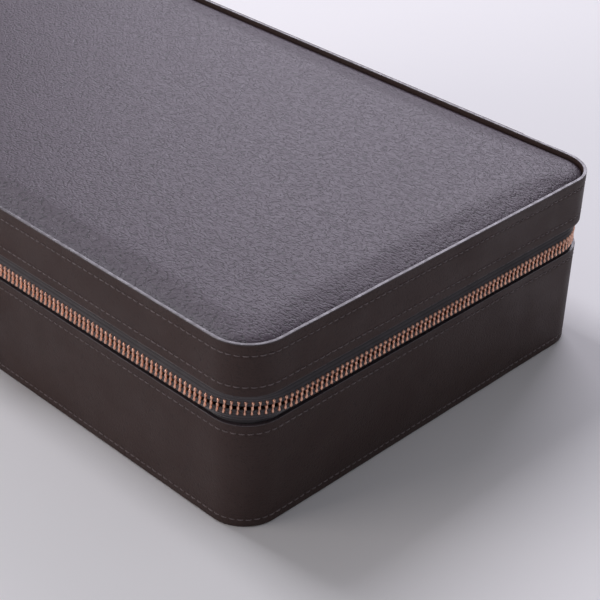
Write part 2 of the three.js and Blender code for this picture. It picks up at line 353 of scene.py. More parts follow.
def surface(tree, shader, colour, roughness, height=None, depth=0.1 * MM):
    tree.links.new(colour, shader.inputs["Base Color"])
    tree.links.new(roughness, shader.inputs["Roughness"])
    if height is not None:
        bump = node(tree, "ShaderNodeBump", {"Height": height, "Distance": depth, "Strength": 1.0})
        tree.links.new(bump.outputs["Normal"], shader.inputs["Normal"])


# %% [markdown]
# Two leathers. The bands are a smooth, fine-grained brown calf with a quiet shine. The lid's panel is the
# same hide embossed with pebbles about a millimetre across, and it shines more, so it takes on the cool
# colour of the light; its colour is also tinted purple as a painted reflection of that cool light. Its
# creases are a little longer along the case than across it. In both leathers the creases are darkened as
# painted shade.

# %% Leather finishes


def band_leather():
    material, tree, shader, place = start_material("band_leather", Specular_IOR_Level=0.28, Coat_Weight=0.0)
    grain = use(tree, LEATHER_GRAIN, Vector=place, Pebbles_per_metre=1500.0, Crease_width=0.2,
                Fine_grain=0.35)
    # The grain's creases pull the colour towards the deep tone: painted shade in the creases.
    tone = tones(tree, place, 18.0, (0.044, 0.0235, 0.0200), (0.039, 0.0208, 0.0178),
                 maths(tree, "MULTIPLY", grain["Crease"], 0.3))
    rough = ramp(tree, noise_value(tree, place, 60.0, 3.0), 0.3, 0.7, 0.46, 0.58)
    surface(tree, shader, tone, rough, grain["Height"], 0.10 * MM)
    return material


def panel_leather():
    material, tree, shader, place = start_material("panel_leather", Specular_IOR_Level=0.42)
    grain = use(tree, LEATHER_GRAIN, Vector=place, Pebbles_per_metre=980.0, Stretch=(0.75, 1.15, 1.0),
                Crease_width=0.16, Fine_grain=0.2)
    # Both tones are tinted purple, a painted reflection of the cool light, and the creases pull strongly
    # towards the deep tone: painted shade.
    tone = tones(tree, place, 14.0, (0.050, 0.032, 0.047), (0.046, 0.029, 0.043),
                 maths(tree, "MULTIPLY", grain["Crease"], 0.7))
    rough = ramp(tree, noise_value(tree, place, 300.0, 3.0), 0.3, 0.7, 0.40, 0.45)
    surface(tree, shader, tone, rough, grain["Height"], 0.17 * MM)
    return material


def edge_paint():
    material, tree, shader, place = start_material("edge_paint", Specular_IOR_Level=0.6)
    tone = tones(tree, place, 90.0, (0.05, 0.037, 0.042), (0.038, 0.027, 0.03))
    rough = ramp(tree, noise_value(tree, place, 300.0, 2.0), 0.3, 0.7, 0.24, 0.4)
    surface(tree, shader, tone, rough, noise_value(tree, place, 500.0, 2.0), 0.06 * MM)
    return material


# %% [markdown]
# Thread, tape, suede, metal, board and foam. The thread shows its twist, the tape its twill. Suede has no
# shine, only a nap that is brushed lighter here and there, so it gets sheen and a soft noise. The metal is
# a polished copper plate with fine scratches and darker recesses where the polish has not reached.

# %% Other finishes


def thread_finish():
    material, tree, shader, place = start_material("thread", Specular_IOR_Level=0.35, Sheen_Weight=0.3)
    run = node(tree, "ShaderNodeUVMap", uv_map="run").outputs[0]
    weave = use(tree, WEAVE, Run=run, Ribs_per_metre=1300.0, Threads_per_metre=1.0)
    # Where the twist is low (the weave's Gap) the colour is pulled towards the deep tone: painted shade
    # between the twists.
    tone = tones(tree, place, 200.0, (0.20, 0.155, 0.155), (0.14, 0.105, 0.105),
                 maths(tree, "MULTIPLY", weave["Gap"], 0.6))
    rough = maths(tree, "MULTIPLY_ADD", weave["Gap"], 0.2, 0.5)
    surface(tree, shader, tone, rough, weave["Height"], 0.06 * MM)
    return material


def tape_finish():
    material, tree, shader, place = start_material("zip_tape", Specular_IOR_Level=0.4, Sheen_Weight=0.4,
                                                   Sheen_Roughness=0.35)
    run = node(tree, "ShaderNodeUVMap", uv_map="run").outputs[0]
    weave = use(tree, WEAVE, Run=run)
    # The weave's gaps pull the colour towards the deep tone: painted shade between the ribs and threads.
    tone = tones(tree, place, 120.0, (0.075, 0.066, 0.072), (0.055, 0.048, 0.052),
                 maths(tree, "MULTIPLY", weave["Gap"], 0.5))
    rough = maths(tree, "MULTIPLY_ADD", weave["Gap"], 0.2, 0.55)
    surface(tree, shader, tone, rough, weave["Height"], 0.07 * MM)
    return material


def suede_finish():
    material, tree, shader, place = start_material("suede", Specular_IOR_Level=0.15, Sheen_Weight=0.7,
                                                   Sheen_Roughness=0.5, Sheen_Tint=(0.75, 0.62, 0.6, 1))
    nap = noise_value(tree, place, 2200.0, 3.0, 0.7)
    brushed = ramp(tree, noise_value(tree, place, 45.0, 4.0, 0.6), 0.35, 0.65)
    tone = tones(tree, place, 30.0, (0.11, 0.077, 0.07), (0.085, 0.058, 0.053),
                 maths(tree, "MULTIPLY", nap, 0.35))
    height = maths(tree, "MULTIPLY_ADD", brushed, 0.3, nap)
    surface(tree, shader, tone, maths(tree, "MULTIPLY_ADD", brushed, -0.1, 0.95), height, 0.12 * MM)
    return material


def copper_finish():
    material, tree, shader, place = start_material("copper_metal", Metallic=1.0)
    long_way = vector_maths(tree, "MULTIPLY", place, (1.0, 1.0, 6.0))
    scratch = noise_value(tree, long_way, 900.0, 4.0, 0.65)
    tone = tones(tree, place, 350.0, (0.86, 0.50, 0.36), (0.70, 0.38, 0.27),
                 ramp(tree, scratch, 0.6, 0.8, 0, 0.5), Deep=(0.16, 0.07, 0.045, 1))
    surface(tree, shader, tone, ramp(tree, scratch, 0.3, 0.7, 0.2, 0.36), scratch, 0.015 * MM)
    return material


def board_finish():
    material, tree, shader, place = start_material("greyboard", Specular_IOR_Level=0.2)
    fibre = noise_value(tree, vector_maths(tree, "MULTIPLY", place, (1.0, 4.0, 9.0)), 260.0, 5.0, 0.7)
    tone = tones(tree, place, 60.0, (0.30, 0.27, 0.23), (0.24, 0.21, 0.18),
                 ramp(tree, fibre, 0.55, 0.8, 0, 0.4))
    surface(tree, shader, tone, ramp(tree, fibre, 0.3, 0.7, 0.85, 0.95), fibre, 0.08 * MM)
    return material


def foam_finish():
    material, tree, shader, place = start_material("foam", Specular_IOR_Level=0.1)
    cells = use(tree, LEATHER_GRAIN, Vector=place, Pebbles_per_metre=1800.0, Crease_width=0.3,
                Fine_grain=0.3)
    # The creases between the cells pull the colour towards the deep tone: painted shade in the pits.
    tone = tones(tree, place, 20.0, (0.66, 0.61, 0.52), (0.58, 0.53, 0.45),
                 maths(tree, "MULTIPLY", cells["Crease"], 0.2))
    rough = maths(tree, "MULTIPLY_ADD", cells["Crease"], 0.05, 0.9)
    surface(tree, shader, tone, rough, cells["Height"], 0.15 * MM)
    return material


def floor_finish():
    material, tree, shader, place = start_material("pale_floor", Specular_IOR_Level=0.1)
    tone = tones(tree, place, 2.0, (0.90, 0.89, 0.885), (0.87, 0.865, 0.86))
    surface(tree, shader, tone, ramp(tree, noise_value(tree, place, 5.0), 0.3, 0.7, 0.8, 0.9))
    return material


BAND, PANEL = ("band_leather", band_leather()), ("panel_leather", panel_leather())
EDGE, THREAD = ("band_leather", edge_paint()), ("band_leather", thread_finish())
TAPE, SUEDE = ("zip_tape", tape_finish()), ("suede_lining", suede_finish())
COPPER = ("copper_metal", copper_finish())
BOARD, FOAM = board_finish(), foam_finish()
floor.data.materials.append(floor_finish())
print("materials:", [material.name for material in bpy.data.materials])

# %% [markdown]
# The plan of the case is a rounded rectangle, and nearly everything runs round it: bands, linings, tape,
# teeth and stitches. So the route round it is made once, as places with an outward direction. The same
# number of places is used for every offset and corner radius, so two routes can be joined by one strip.

# %% Routes round the case
CORNER_PLACES = 14
STRAIGHT_PLACES = 40


def corner_arc(quarter, offset, radius):
    side_x = 1 if quarter in (0, 3) else -1
    side_y = 1 if quarter < 2 else -1
    middle = Vector((side_x * (half_length + offset - radius), side_y * (half_depth + offset - radius), 0))
    angles = [(quarter + step / CORNER_PLACES) * math.pi / 2 for step in range(CORNER_PLACES + 1)]
    outs = [Vector((math.cos(angle), math.sin(angle), 0)) for angle in angles]
    return [(middle + out * radius, out) for out in outs]


def straight(start, end):
    steps = [step / STRAIGHT_PLACES for step in range(1, STRAIGHT_PLACES)]
    return [(start[0].lerp(end[0], step), end[1]) for step in steps]


def route(offset=0.0, radius=None, open_half=None):
    """Places anticlockwise round the plan; open_half leaves that half width open at the back."""
    radius = corner_radius + offset if radius is None else radius
    back = Vector((0, 1, 0))
    if open_half is None:
        arcs = [corner_arc(quarter, offset, radius) for quarter in range(4)]
        ends = arcs[1:] + arcs[:1]
    else:
        left = (Vector((-open_half, half_depth + offset, 0)), back)
        right = (Vector((open_half, half_depth + offset, 0)), back)
        arcs = [[left]] + [corner_arc(quarter, offset, radius) for quarter in (1, 2, 3, 0)]
        ends = arcs[1:] + [[right]]
    places = []
    for arc, following in zip(arcs, ends):
        places += arc + straight(arc[-1], following[0])
    return places if open_half is None else places + [right]


def distances(places, closed):
    loop = places + places[:1] if closed else places
    total, out = 0.0, [0.0]
    for before, after in zip(loop, loop[1:]):
        total += (after[0] - before[0]).length
        out.append(total)
    return out


def spaced(places, pitch, closed=True, start=0.0):
    """Evenly spaced frames (place, along, out) on a route, about one pitch apart."""
    run = distances(places, closed)
    loop = places + places[:1] if closed else places
    count = round((run[-1] - start) / pitch)
    frames, index = [], 0
    for step in range(count):
        reach = start + (step + 0.5) * (run[-1] - start) / count
        while run[index + 1] < reach:
            index += 1
        share = (reach - run[index]) / (run[index + 1] - run[index])
        out = loop[index][1].lerp(loop[index + 1][1], share).normalized()
        frames.append((loop[index][0].lerp(loop[index + 1][0], share), Vector((-out.y, out.x, 0)), out))
    return frames


around = route()
print(f"round the case: {distances(around, True)[-1]:.3f} m")

# %% [markdown]
# Mesh helpers. `add_piece` turns points and faces into a smooth-shaded object that rides a CAD body.
# `sweep` carries a section round a route. A section is a list of (out, up) points, anticlockwise, and
# `soften` rounds its corners, because no leather edge is sharp.

# %% Mesh helpers


def add_piece(name, points, faces, body, finish, runs=None, sharp=40):
    mesh = bpy.data.meshes.new(name)
    mesh.from_pydata([tuple(point) for point in points], [], faces)
    mesh.validate()
    if runs is not None:
        layer = mesh.uv_layers.new(name="run")
        coords = np.array(runs, float)[[loop.vertex_index for loop in mesh.loops]]
        layer.data.foreach_set("uv", coords.astype(np.float32).ravel())
    mesh.shade_smooth()
    mesh.set_sharp_from_angle(angle=math.radians(sharp))
    slot, material = finish
    mesh.materials.append(material)
    piece = bpy.data.objects.new(name, mesh)
    bpy.context.scene.collection.objects.link(piece)
    if body:
        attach(piece, body)
    print(f"{name}: {len(mesh.polygons)} faces")
    return piece


def soften(points, radius, steps=4):
    """Rounds the corners of a closed section; radius is one value or one for each point."""
    radii = radius if isinstance(radius, (list, tuple)) else [radius] * len(points)
    rounded = []
    for index, (point, wanted) in enumerate(zip(points, radii)):
        here = Vector(point)
        before = Vector(points[index - 1]) - here
        after = Vector(points[(index + 1) % len(points)]) - here
        reach = min(wanted, before.length * 0.45, after.length * 0.45)
        if reach < 0.01 * MM:
            rounded.append(here)
            continue
        start, end = here + before.normalized() * reach, here + after.normalized() * reach
        for step in range(steps + 1):
            share = step / steps
            rounded.append(start.lerp(here, share).lerp(here.lerp(end, share), share))
    return rounded


def sweep(name, section, places, body, finish, closed=True, other=None, wobble=0.0):
    """Carries a section round a route. With another route, a third value in a point blends towards it."""
    count = len(section)
    run = distances(places, closed)
    around_section = [0.0]
    for before, after in zip(section, section[1:]):
        around_section.append(around_section[-1] + math.dist(before[:2], after[:2]))
    points, runs, faces = [], [], []
    for index, (place, out) in enumerate(places):
        for (*values,), across in zip(section, around_section):
            base = place.lerp(other[index][0], values[2]) if other else place
            point = base + out * values[0] + Vector((0, 0, values[1]))
            if wobble:
                point += out * wobble * noise.noise(point * 90)
            points.append(point)
            runs.append((run[index], across))
    for strip in range(len(places) if closed else len(places) - 1):
        here, there = strip * count, (strip + 1) % len(places) * count
        for edge in range(count):
            following = (edge + 1) % count
            faces.append((here + edge, there + edge, there + following, here + following))
    if not closed:
        last = (len(places) - 1) * count
        faces += [tuple(range(count)), tuple(range(last + count - 1, last - 1, -1))]
    return add_piece(name, points, faces, body, finish, runs)


def scatter(name, template, frames, body, finish, sway=0.0):
    """One mesh with a copy of template = (points, faces, runs) at each frame (place, along, out)."""
    shape, faces, runs = template
    local = np.array(shape, float)
    points, all_faces, all_runs = [], [], []
    for index, (place, along, out) in enumerate(frames):
        tilt = random.uniform(-sway, sway)
        up = out.cross(along)
        axes = Matrix((along * math.cos(tilt) + up * math.sin(tilt), out,
                       up * math.cos(tilt) - along * math.sin(tilt)))
        points.append(local @ np.array(axes) + np.array(place))
        shift = index * len(local)
        all_faces += [tuple(corner + shift for corner in face) for face in faces]
        all_runs += [(index * 0.01 + across, over) for across, over in runs]
    return add_piece(name, np.concatenate(points), all_faces, body, finish, all_runs)


def lofted(rings):
    """Points and faces of a closed solid through rings of equal length."""
    count = len(rings[0])
    points = [point for ring in rings for point in ring]
    faces = []
    for level in range(len(rings) - 1):
        for edge in range(count):
            a, b = level * count + edge, level * count + (edge + 1) % count
            faces.append((a, b, b + count, a + count))
    top = (len(rings) - 1) * count
    faces += [tuple(range(count - 1, -1, -1)), tuple(range(top, top + count))]
    return points, faces


# %% [markdown]
# The leather bands. Each is one closed ring, and the spine covers it at the back. The ring's edges
# are rounded, and where a row of stitches will lie the thread has pulled the leather into a shallow channel.
# The channel is in the section, so it is real shape and catches the light.

# %% Bands
CHANNEL_DEPTH = 0.28 * MM
CHANNEL_HALF = 0.75 * MM
LEATHER_WOBBLE = 0.12 * MM
LID_ROWS = (lid_low.z + 4.0 * MM, lid_high.z - 4.6 * MM)
BASE_ROWS = (base_low.z + 3.2 * MM, base_high.z - 3.8 * MM)


def band_section(outer, bottom, top, rows, foot_round, top_round):
    points, radii = [(outer - LEATHER, bottom), (outer, bottom)], [0.2 * MM, foot_round]
    for row in rows:
        points += [(outer, row - CHANNEL_HALF), (outer - CHANNEL_DEPTH, row), (outer, row + CHANNEL_HALF)]
        radii += [0.5 * MM] * 3
    points += [(outer, top), (outer - LEATHER, top)]
    radii += [top_round, top_round]
    return soften(points, radii)


base_section = band_section(0, base_low.z, base_high.z, BASE_ROWS, 0.9 * MM, 0.55 * MM)
lid_section = band_section(lid_proud, lid_low.z, lid_high.z, LID_ROWS, 0.55 * MM, 0.6 * MM)
base_band = sweep("base_band", base_section, around, "base", BAND, wobble=LEATHER_WOBBLE)
lid_band = sweep("lid_band", lid_section, around, "lid", BAND, wobble=LEATHER_WOBBLE)
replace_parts(base_band, "base_side_band")
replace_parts(lid_band, "lid_side_band")

# %% [markdown]
# The cut edges of good leather goods are painted and polished. A bead of edge paint lies on the lid's rim
# and on the top edge of the base band. It is what draws the fine bright line round the case.

# %% Edge paint


def edge_bead(name, outer, height, body, width):
    low, high = height - 0.35 * MM, height + 0.06 * MM
    inner, outer = outer - width, outer + 0.03 * MM
    section = [(inner, low), (outer, low), (outer, high), (inner, high)]
    sweep(name, soften(section, 0.3 * MM, 5), around, body, EDGE, wobble=LEATHER_WOBBLE)


edge_bead("lid_rim_paint", lid_proud, lid_high.z, "lid", LEATHER)
edge_bead("base_edge_paint", 0, base_high.z, "base", LEATHER)
edge_bead("lid_edge_paint", lid_proud, lid_low.z + 0.3 * MM, "lid", LEATHER)

# %% [markdown]
# Stitches. A saddle stitch shows as short dashes of waxed thread, each diving into a hole at both ends.
# One stitch is modelled as a thread that rises from the channel and sinks again, then it is copied along
# the route with a very small random slant, as a sewing machine leaves it.

# %% Stitches
STITCH_PITCH = 3.1 * MM
STITCH_LENGTH = 2.5 * MM
THREAD_RADIUS = 0.27 * MM
STITCH_SWAY = 0.07


def stitch_template():
    rings, runs = [], []
    sides, steps = 7, 7
    for step in range(steps):
        share = step / (steps - 1)
        across = (share - 0.5) * STITCH_LENGTH
        rise = math.sin(math.pi * share) ** 0.5 * 0.36 * MM - 0.34 * MM
        thick = THREAD_RADIUS * (0.75 + 0.25 * math.sin(math.pi * share))
        angles = [-side * 2 * math.pi / sides for side in range(sides)]
        rings.append([(across, rise + thick * math.cos(angle), thick * math.sin(angle)) for angle in angles])
        runs += [(across, angle * THREAD_RADIUS) for angle in angles]
    points, faces = lofted(rings)
    return points, faces, runs


def stitch_row(name, offset, height, body):
    frames = spaced(route(offset - CHANNEL_DEPTH * 0.4, corner_radius + offset), STITCH_PITCH)
    lifted = [(place + Vector((0, 0, height)), along, out) for place, along, out in frames]
    scatter(name, stitch_template(), lifted, body, THREAD, sway=STITCH_SWAY)


for index, height in enumerate(BASE_ROWS):
    stitch_row(f"base_stitches_{index + 1}", 0, height, "base")
for index, height in enumerate(LID_ROWS):
    stitch_row(f"lid_stitches_{index + 1}", lid_proud, height, "lid")

# %% [markdown]
# Pads. A padded panel is flat leather over foam: flat in the middle, with a soft shoulder that drops to the
# board. The mesh is a grid whose corner cells are bent onto the rounded corner, so that cloth simulation
# and subdivision both have even squares to work on.

# %% Pad mesh


def grid_lines(half, radius, corner_cells, pitch):
    inner = half - radius
    cells = max(2, round(2 * inner / pitch))
    line = [-half + radius * step / corner_cells for step in range(corner_cells)]
    line += [-inner + 2 * inner * step / cells for step in range(cells)]
    return line + [inner + radius * step / corner_cells for step in range(corner_cells + 1)]


def on_pad(x, y, half_x, half_y, radius):
    """The grid point moved onto the rounded outline's rings, and its distance from the outline."""
    past_x, past_y = abs(x) - (half_x - radius), abs(y) - (half_y - radius)
    if past_x <= 0 or past_y <= 0:
        return x, y, min(half_x - abs(x), half_y - abs(y))
    reach = max(past_x, past_y)
    scale = reach / math.hypot(past_x, past_y)
    new_x = math.copysign(half_x - radius + past_x * scale, x)
    new_y = math.copysign(half_y - radius + past_y * scale, y)
    return new_x, new_y, radius - reach


def pad_mesh(half_x, half_y, radius, rise, shoulder, pitch, corner_cells=6, skirt=0.5 * MM):
    """Points and faces of a pad with its foot at z 0 and its top at skirt + rise."""
    xs = grid_lines(half_x, radius, corner_cells, pitch)
    ys = grid_lines(half_y, radius, corner_cells, pitch)
    points = []
    for y in ys:
        for x in xs:
            px, py, inside = on_pad(x, y, half_x, half_y, radius)
            share = min(1.0, max(0.0, inside / shoulder))
            points.append((px, py, skirt + rise * math.sqrt(1 - (1 - share) ** 2)))
    wide, deep = len(xs), len(ys)
    firsts = [row * wide + column for row in range(deep - 1) for column in range(wide - 1)]
    faces = [(first, first + 1, first + wide + 1, first + wide) for first in firsts]
    count = len(points)
    rim = list(range(wide)) + [row * wide + wide - 1 for row in range(1, deep)]
    rim += [(deep - 1) * wide + column for column in range(wide - 2, -1, -1)]
    rim += [row * wide for row in range(deep - 2, 0, -1)]
    faces += [tuple(corner + count for corner in reversed(face)) for face in faces]
    faces += [(count + a, count + b, b, a) for a, b in zip(rim, rim[1:] + rim[:1])]
    return points + [(x, y, 0.0) for x, y, _ in points], faces


def inset_radius(high):
    """Corner radius of a piece that lies inside the walls and ends at high."""
    return corner_radius + high.x - half_length


# %% [markdown]
# Filling a pad. Blender's cloth with pressure and no gravity pushes the leather out against its pinned edge.
# Every point's move is capped, so that the pad stays in the space the CAD model keeps for it. With these
# values about four fifths of the top reach the cap, so the cap, not the cloth's own balance, sets most of
# the crown. The slow unevenness comes from noise that is added afterwards.

# %% Fill a pad by cloth simulation


def fill_pad(piece, pinned, pressure, cap, frames=12):
    """Swells piece; pinned(point) says which points stay. Returns the largest move in metres."""
    start = [vertex.co.copy() for vertex in piece.data.vertices]
    held = piece.vertex_groups.new(name="held")
    held.add([vertex.index for vertex in piece.data.vertices if pinned(vertex.co)], 1.0, "REPLACE")
    cloth = piece.modifiers.new("cloth", "CLOTH")
    settings = cloth.settings
    settings.quality = 3
    settings.mass = 0.2
    settings.tension_stiffness = settings.compression_stiffness = 25.0
    settings.bending_stiffness = 2.0
    settings.use_pressure = True
    settings.uniform_pressure_force = pressure
    settings.vertex_group_mass = "held"
    settings.effector_weights.gravity = 0
    scene = bpy.context.scene
    for step in range(1, frames + 1):
        scene.frame_set(step)
    evaluated = piece.evaluated_get(bpy.context.evaluated_depsgraph_get())
    moved = [vertex.co.copy() for vertex in evaluated.data.vertices]
    piece.modifiers.remove(cloth)
    piece.vertex_groups.remove(held)
    scene.frame_set(1)
    largest = 0.0
    for vertex, before, after in zip(piece.data.vertices, start, moved):
        move = after - before
        move *= min(1.0, cap / max(move.length, 1e-9))
        vertex.co = before + move
        largest = max(largest, move.length)
    return largest


# %% [markdown]
# The lid's top panel is the piece that everyone sees. Its shoulder is a quarter ellipse, ten millimetres
# wide, that falls steeply into the groove behind the rim. The groove stays dark and the shoulder shines.

# %% Top panel
panel_low, panel_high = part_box("lid_top_panel")
SHOULDER = 10 * MM
SWELL_PRESSURE = 2.0
SWELL_CAP = 0.7 * MM


def top_panel():
    half_x, half_y = panel_high.x, panel_high.y
    radius = inset_radius(panel_high)
    crown = panel_high.z - panel_low.z
    points, faces = pad_mesh(half_x, half_y, radius, crown - 1.0 * MM, SHOULDER, 3.2 * MM)
    panel = add_piece("top_panel", [Vector(point) + Vector((0, 0, panel_low.z)) for point in points], faces,
                      None, PANEL, sharp=60)
    edge = panel_low.z + 0.6 * MM
    most = fill_pad(panel, lambda point: point.z < edge, SWELL_PRESSURE, SWELL_CAP)
    for vertex in panel.data.vertices:
        if vertex.co.z > edge:
            vertex.co.z += 0.14 * MM * noise.noise(vertex.co * 28) + 0.06 * MM * noise.noise(vertex.co * 75)
    panel.modifiers.new("smooth", "SUBSURF").levels = 1
    panel.modifiers["smooth"].render_levels = 1
    print(f"top panel swelled by {most / MM:.2f} mm")
    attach(panel, "lid")
    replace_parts(panel, "lid_top_panel")


top_panel()

# %% [markdown]
# The zip chain. Metal teeth are small stamped pieces: a rounded head at the middle of the chain that locks
# between its neighbours, a narrow neck, and a fat foot clamped over the cord of the tape. Rings of ten
# points are lofted into one tooth, and it is copied along each tape. The upper row starts half a pitch on,
# and both rows have the same number of teeth, so they interlock at one end and are in line at the other.
# At the corners the chain cannot bend as sharply as the leather, so its route has a larger radius there.

# %% Zip teeth
TOOTH_PITCH = 2.54 * MM
CHAIN_CORNER_RADIUS = 25 * MM
CHAIN_DEPTH = 2.5 * MM
SQUARENESS = 0.7
chain_end = spine_half + 1 * MM
chain_route = route(zip_proud, CHAIN_CORNER_RADIUS, chain_end)


def tooth_template(side):
    profile = [(-0.95, 0.10, 0.55), (-0.80, 0.34, 0.85), (-0.35, 0.46, 1.0), (0.15, 0.42, 1.05),
               (0.75, 0.30, 0.95), (1.25, 0.38, 1.05), (1.80, 0.58, 1.22), (2.35, 0.66, 1.25),
               (2.78, 0.50, 1.1), (2.97, 0.20, 0.8)]
    rings, runs = [], []
    for height, half_wide, half_thick in profile:
        ring = []
        for step in range(10):
            angle = step * math.pi / 5
            x = abs(math.cos(angle)) ** SQUARENESS * math.copysign(half_wide, math.cos(angle))
            y = abs(math.sin(angle)) ** SQUARENESS * math.copysign(half_thick, math.sin(angle))
            ring.append((x * MM, y * MM, side * height * MM))
            runs.append((x * MM, height * MM))
        rings.append(ring if side > 0 else ring[::-1])
    points, faces = lofted(rings)
    return points, faces, runs


def teeth(name, side, body):
    frames = spaced(chain_route, TOOTH_PITCH, closed=False, start=TOOTH_PITCH / 2 if side > 0 else 0)
    middle = Vector((0, 0, zip_z))
    placed = [(place - out * CHAIN_DEPTH / 2 + middle, along, out) for place, along, out in frames]
    row = scatter(name, tooth_template(side), placed, body, COPPER)
    print(f"{name}: {len(frames)} teeth")
    return row


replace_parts(teeth("teeth_upper", 1, "lid"), "zip_teeth_upper")
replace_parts(teeth("teeth_lower", -1, "base"), "zip_teeth_lower")

# %% [markdown]
# The tapes. Each half of the tape starts under its row of teeth, slopes
# back and goes behind the leather band, where it is glued and sewn. It is one thin strip between two
# routes: the chain's route, with its wide corners, and the band's route behind the leather.

# %% Zip tapes
TAPE_THICK = 0.5 * MM
TAPE_GAP = 0.3 * MM


def tape(name, node_name, side, behind, edge_z, body):
    band_route = route(behind, corner_radius + behind, chain_end)
    hidden = 7 * MM
    rise = [(0.0, 0.9), (0.0, 1.6), (0.0, 2.6), (0.25, 3.3), (0.6, 4.6), (0.9, 5.9)]
    face = [(-0.65 * MM * (1 - blend), zip_z + side * height * MM, blend) for blend, height in rise]
    face += [(0.0, edge_z + side * 1.0 * MM, 1.0), (0.0, edge_z + side * hidden, 1.0)]
    back = [(out - TAPE_THICK, up, blend) for out, up, blend in reversed(face)]
    section = face + back
    section = section if side > 0 else section[::-1]
    strip = sweep(name, section, chain_route, body, TAPE, False, band_route)
    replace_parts(strip, node_name)


tape("tape_upper", "zip_tape_upper", 1, lid_proud - LEATHER - TAPE_GAP, lid_low.z, "lid")
tape("tape_lower", "zip_tape_lower", -1, -LEATHER - TAPE_GAP, base_high.z, "base")

# %% [markdown]
# The spine. One leather panel down the back is both hinge and cover. It lies on the base band, steps out
# over the zip opening to lie on the lid band, and bends there when the lid opens. Here it is one sheet with
# many rows of points across the opening, its depth blended from the base band's to the lid band's; it is not
# attached to either body, so it keeps this shape.

# %% Spine
spine_low, spine_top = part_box("spine_base")[0].z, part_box("spine_lid")[1].z
base_skin, lid_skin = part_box("spine_base")[0].y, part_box("spine_lid")[0].y
SPINE_THICK = 0.9 * MM


def spine_depth(height):
    share = min(1.0, max(0.0, (height - base_high.z) / (lid_low.z - base_high.z)))
    return base_skin + (lid_skin - base_skin) * share * share * (3 - 2 * share)


def strip_rings(low, high, half, thick, depth, row_pitch=1.2 * MM, column_pitch=6 * MM):
    """Rings across a flat strip that stands in the XZ plane, thinned towards its ends."""
    rows = round((high - low) / row_pitch)
    heights = [low + (high - low) * row / rows for row in range(rows + 1)]
    columns = round(2 * half / column_pitch)
    xs = [-half, -half + 0.4 * MM] + [-half + 2 * half * step / columns for step in range(1, columns)]
    xs += [half - 0.4 * MM, half]
    rings = []
    for x in xs:
        shrink = 0.3 * thick if abs(x) == half else 0.0
        back = [(x, depth(z) + shrink, z) for z in heights]
        face = [(x, depth(z) + thick - shrink, z) for z in reversed(heights)]
        rings.append(back + face)
    return rings


def bent(piece, *nodes):
    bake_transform(piece)
    if nodes:
        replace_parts(piece, *nodes)


points, faces = lofted(strip_rings(spine_low, spine_top, spine_half, SPINE_THICK, spine_depth))
spine = add_piece("spine", points, faces, None, BAND)
bent(spine, "spine_base", "spine_lid")

points, faces = lofted(strip_rings(base_high.z - 2 * MM, lid_low.z + 2 * MM, spine_half, 0.5 * MM,
                                   lambda height: spine_depth(height) - 0.7 * MM))
hinge_lining = add_piece("hinge_lining", points, faces, None, SUEDE)
bent(hinge_lining)


def spine_stitches():
    inset, up, back = 3 * MM, Vector((0, 0, 1)), Vector((0, 1, 0))
    count = round((spine_top - spine_low - 2 * inset) / STITCH_PITCH)
    frames = []
    for side in (-1, 1):
        for step in range(count + 1):
            z = spine_low + inset + step * STITCH_PITCH
            frames.append((Vector((side * (spine_half - inset), spine_depth(z) + SPINE_THICK, z)), up, back))
    row = scatter("spine_stitches", stitch_template(), frames, None, THREAD, sway=STITCH_SWAY)
    bent(row)


spine_stitches()

# %% [markdown]
# The bottom panel is a sheet of the band leather with turned edges, seen only when the case is picked up.
# It is a very shallow pad with its crown downwards, so it is turned over after it is made.

# %% Bottom panel


def pad_piece(name, low, high, radius, rise, shoulder, pitch, body, finish, facing=1):
    """A pad that fills the box low to high, its crown up for facing 1 and down for facing -1."""
    half = (high - low) / 2
    skirt = high.z - low.z - rise
    points, faces = pad_mesh(half.x, half.y, radius, rise, shoulder, pitch, skirt=skirt)
    middle = (low + high) / 2
    foot = low.z if facing > 0 else high.z
    placed = [(middle.x + x, middle.y + y, foot + facing * z) for x, y, z in points]
    if facing < 0:
        faces = [tuple(reversed(face)) for face in faces]
    return add_piece(name, placed, faces, body, finish, sharp=50)


low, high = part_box("bottom_panel")
bottom = pad_piece("bottom_leather", low, high, inset_radius(high), 0.4 * MM, 1.5 * MM, 6 * MM, "base", BAND,
                   facing=-1)
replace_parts(bottom, "bottom_panel")

# %% [markdown]
# The lining. Suede-covered card stands round the inside of the base and rises past the zip into the lid,
# so no board or tape is seen from inside. A turned flange covers the top of the wall board. The lid has
# the same, with its flange at the bottom.

# %% Linings
lining_low, lining_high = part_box("base_lining_wall")
lid_lining_low, lid_lining_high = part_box("lid_lining_wall")
lid_pad_low, lid_pad_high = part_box("lid_lining_pad")
FLANGE = 0.45 * MM


def lining(name, node_name, thick, low, high, flange_reach, flange_low, body):
    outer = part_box(node_name)[1].x - half_length
    flange_high = flange_low + FLANGE
    inner, tip = outer - thick, outer + flange_reach
    points = [(inner, low), (outer, low), (outer, flange_low), (tip, flange_low), (tip, flange_high),
              (outer, flange_high), (outer, high), (inner, high)]
    if flange_low <= low:
        points = [(inner, low), (tip, low), (tip, low + FLANGE), (outer, low + FLANGE), (outer, high),
                  (inner, high)]
    wall = sweep(name, soften(points, 0.6 * MM, 3), around, body, SUEDE, wobble=0.1 * MM)
    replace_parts(wall, node_name)


lining("base_lining", "base_lining_wall", 1.5 * MM, lining_low.z, lining_high.z, 2.7 * MM,
       base_high.z - 0.2 * MM, "base")
lining("lid_lining", "lid_lining_wall", 0.7 * MM, lid_lining_low.z - 0.4 * MM, lid_lining_high.z,
       2.3 * MM, 0.0, "lid")
lid_pad = pad_piece("lid_pad", lid_pad_low, lid_pad_high, inset_radius(lid_pad_high), 1.6 * MM, 12 * MM,
                    5 * MM, "lid", SUEDE, facing=-1)
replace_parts(lid_pad, "lid_lining_pad")

# %% [markdown]
# Dividers are card wrapped in suede: thin boards with round edges. A suede cloth covers the floor, and on it
# lie one small cushion for each compartment and one under the ring rolls. They are shaped, not simulated.

# %% Dividers and floor pads
dividers = [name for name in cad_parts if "divider" in name]


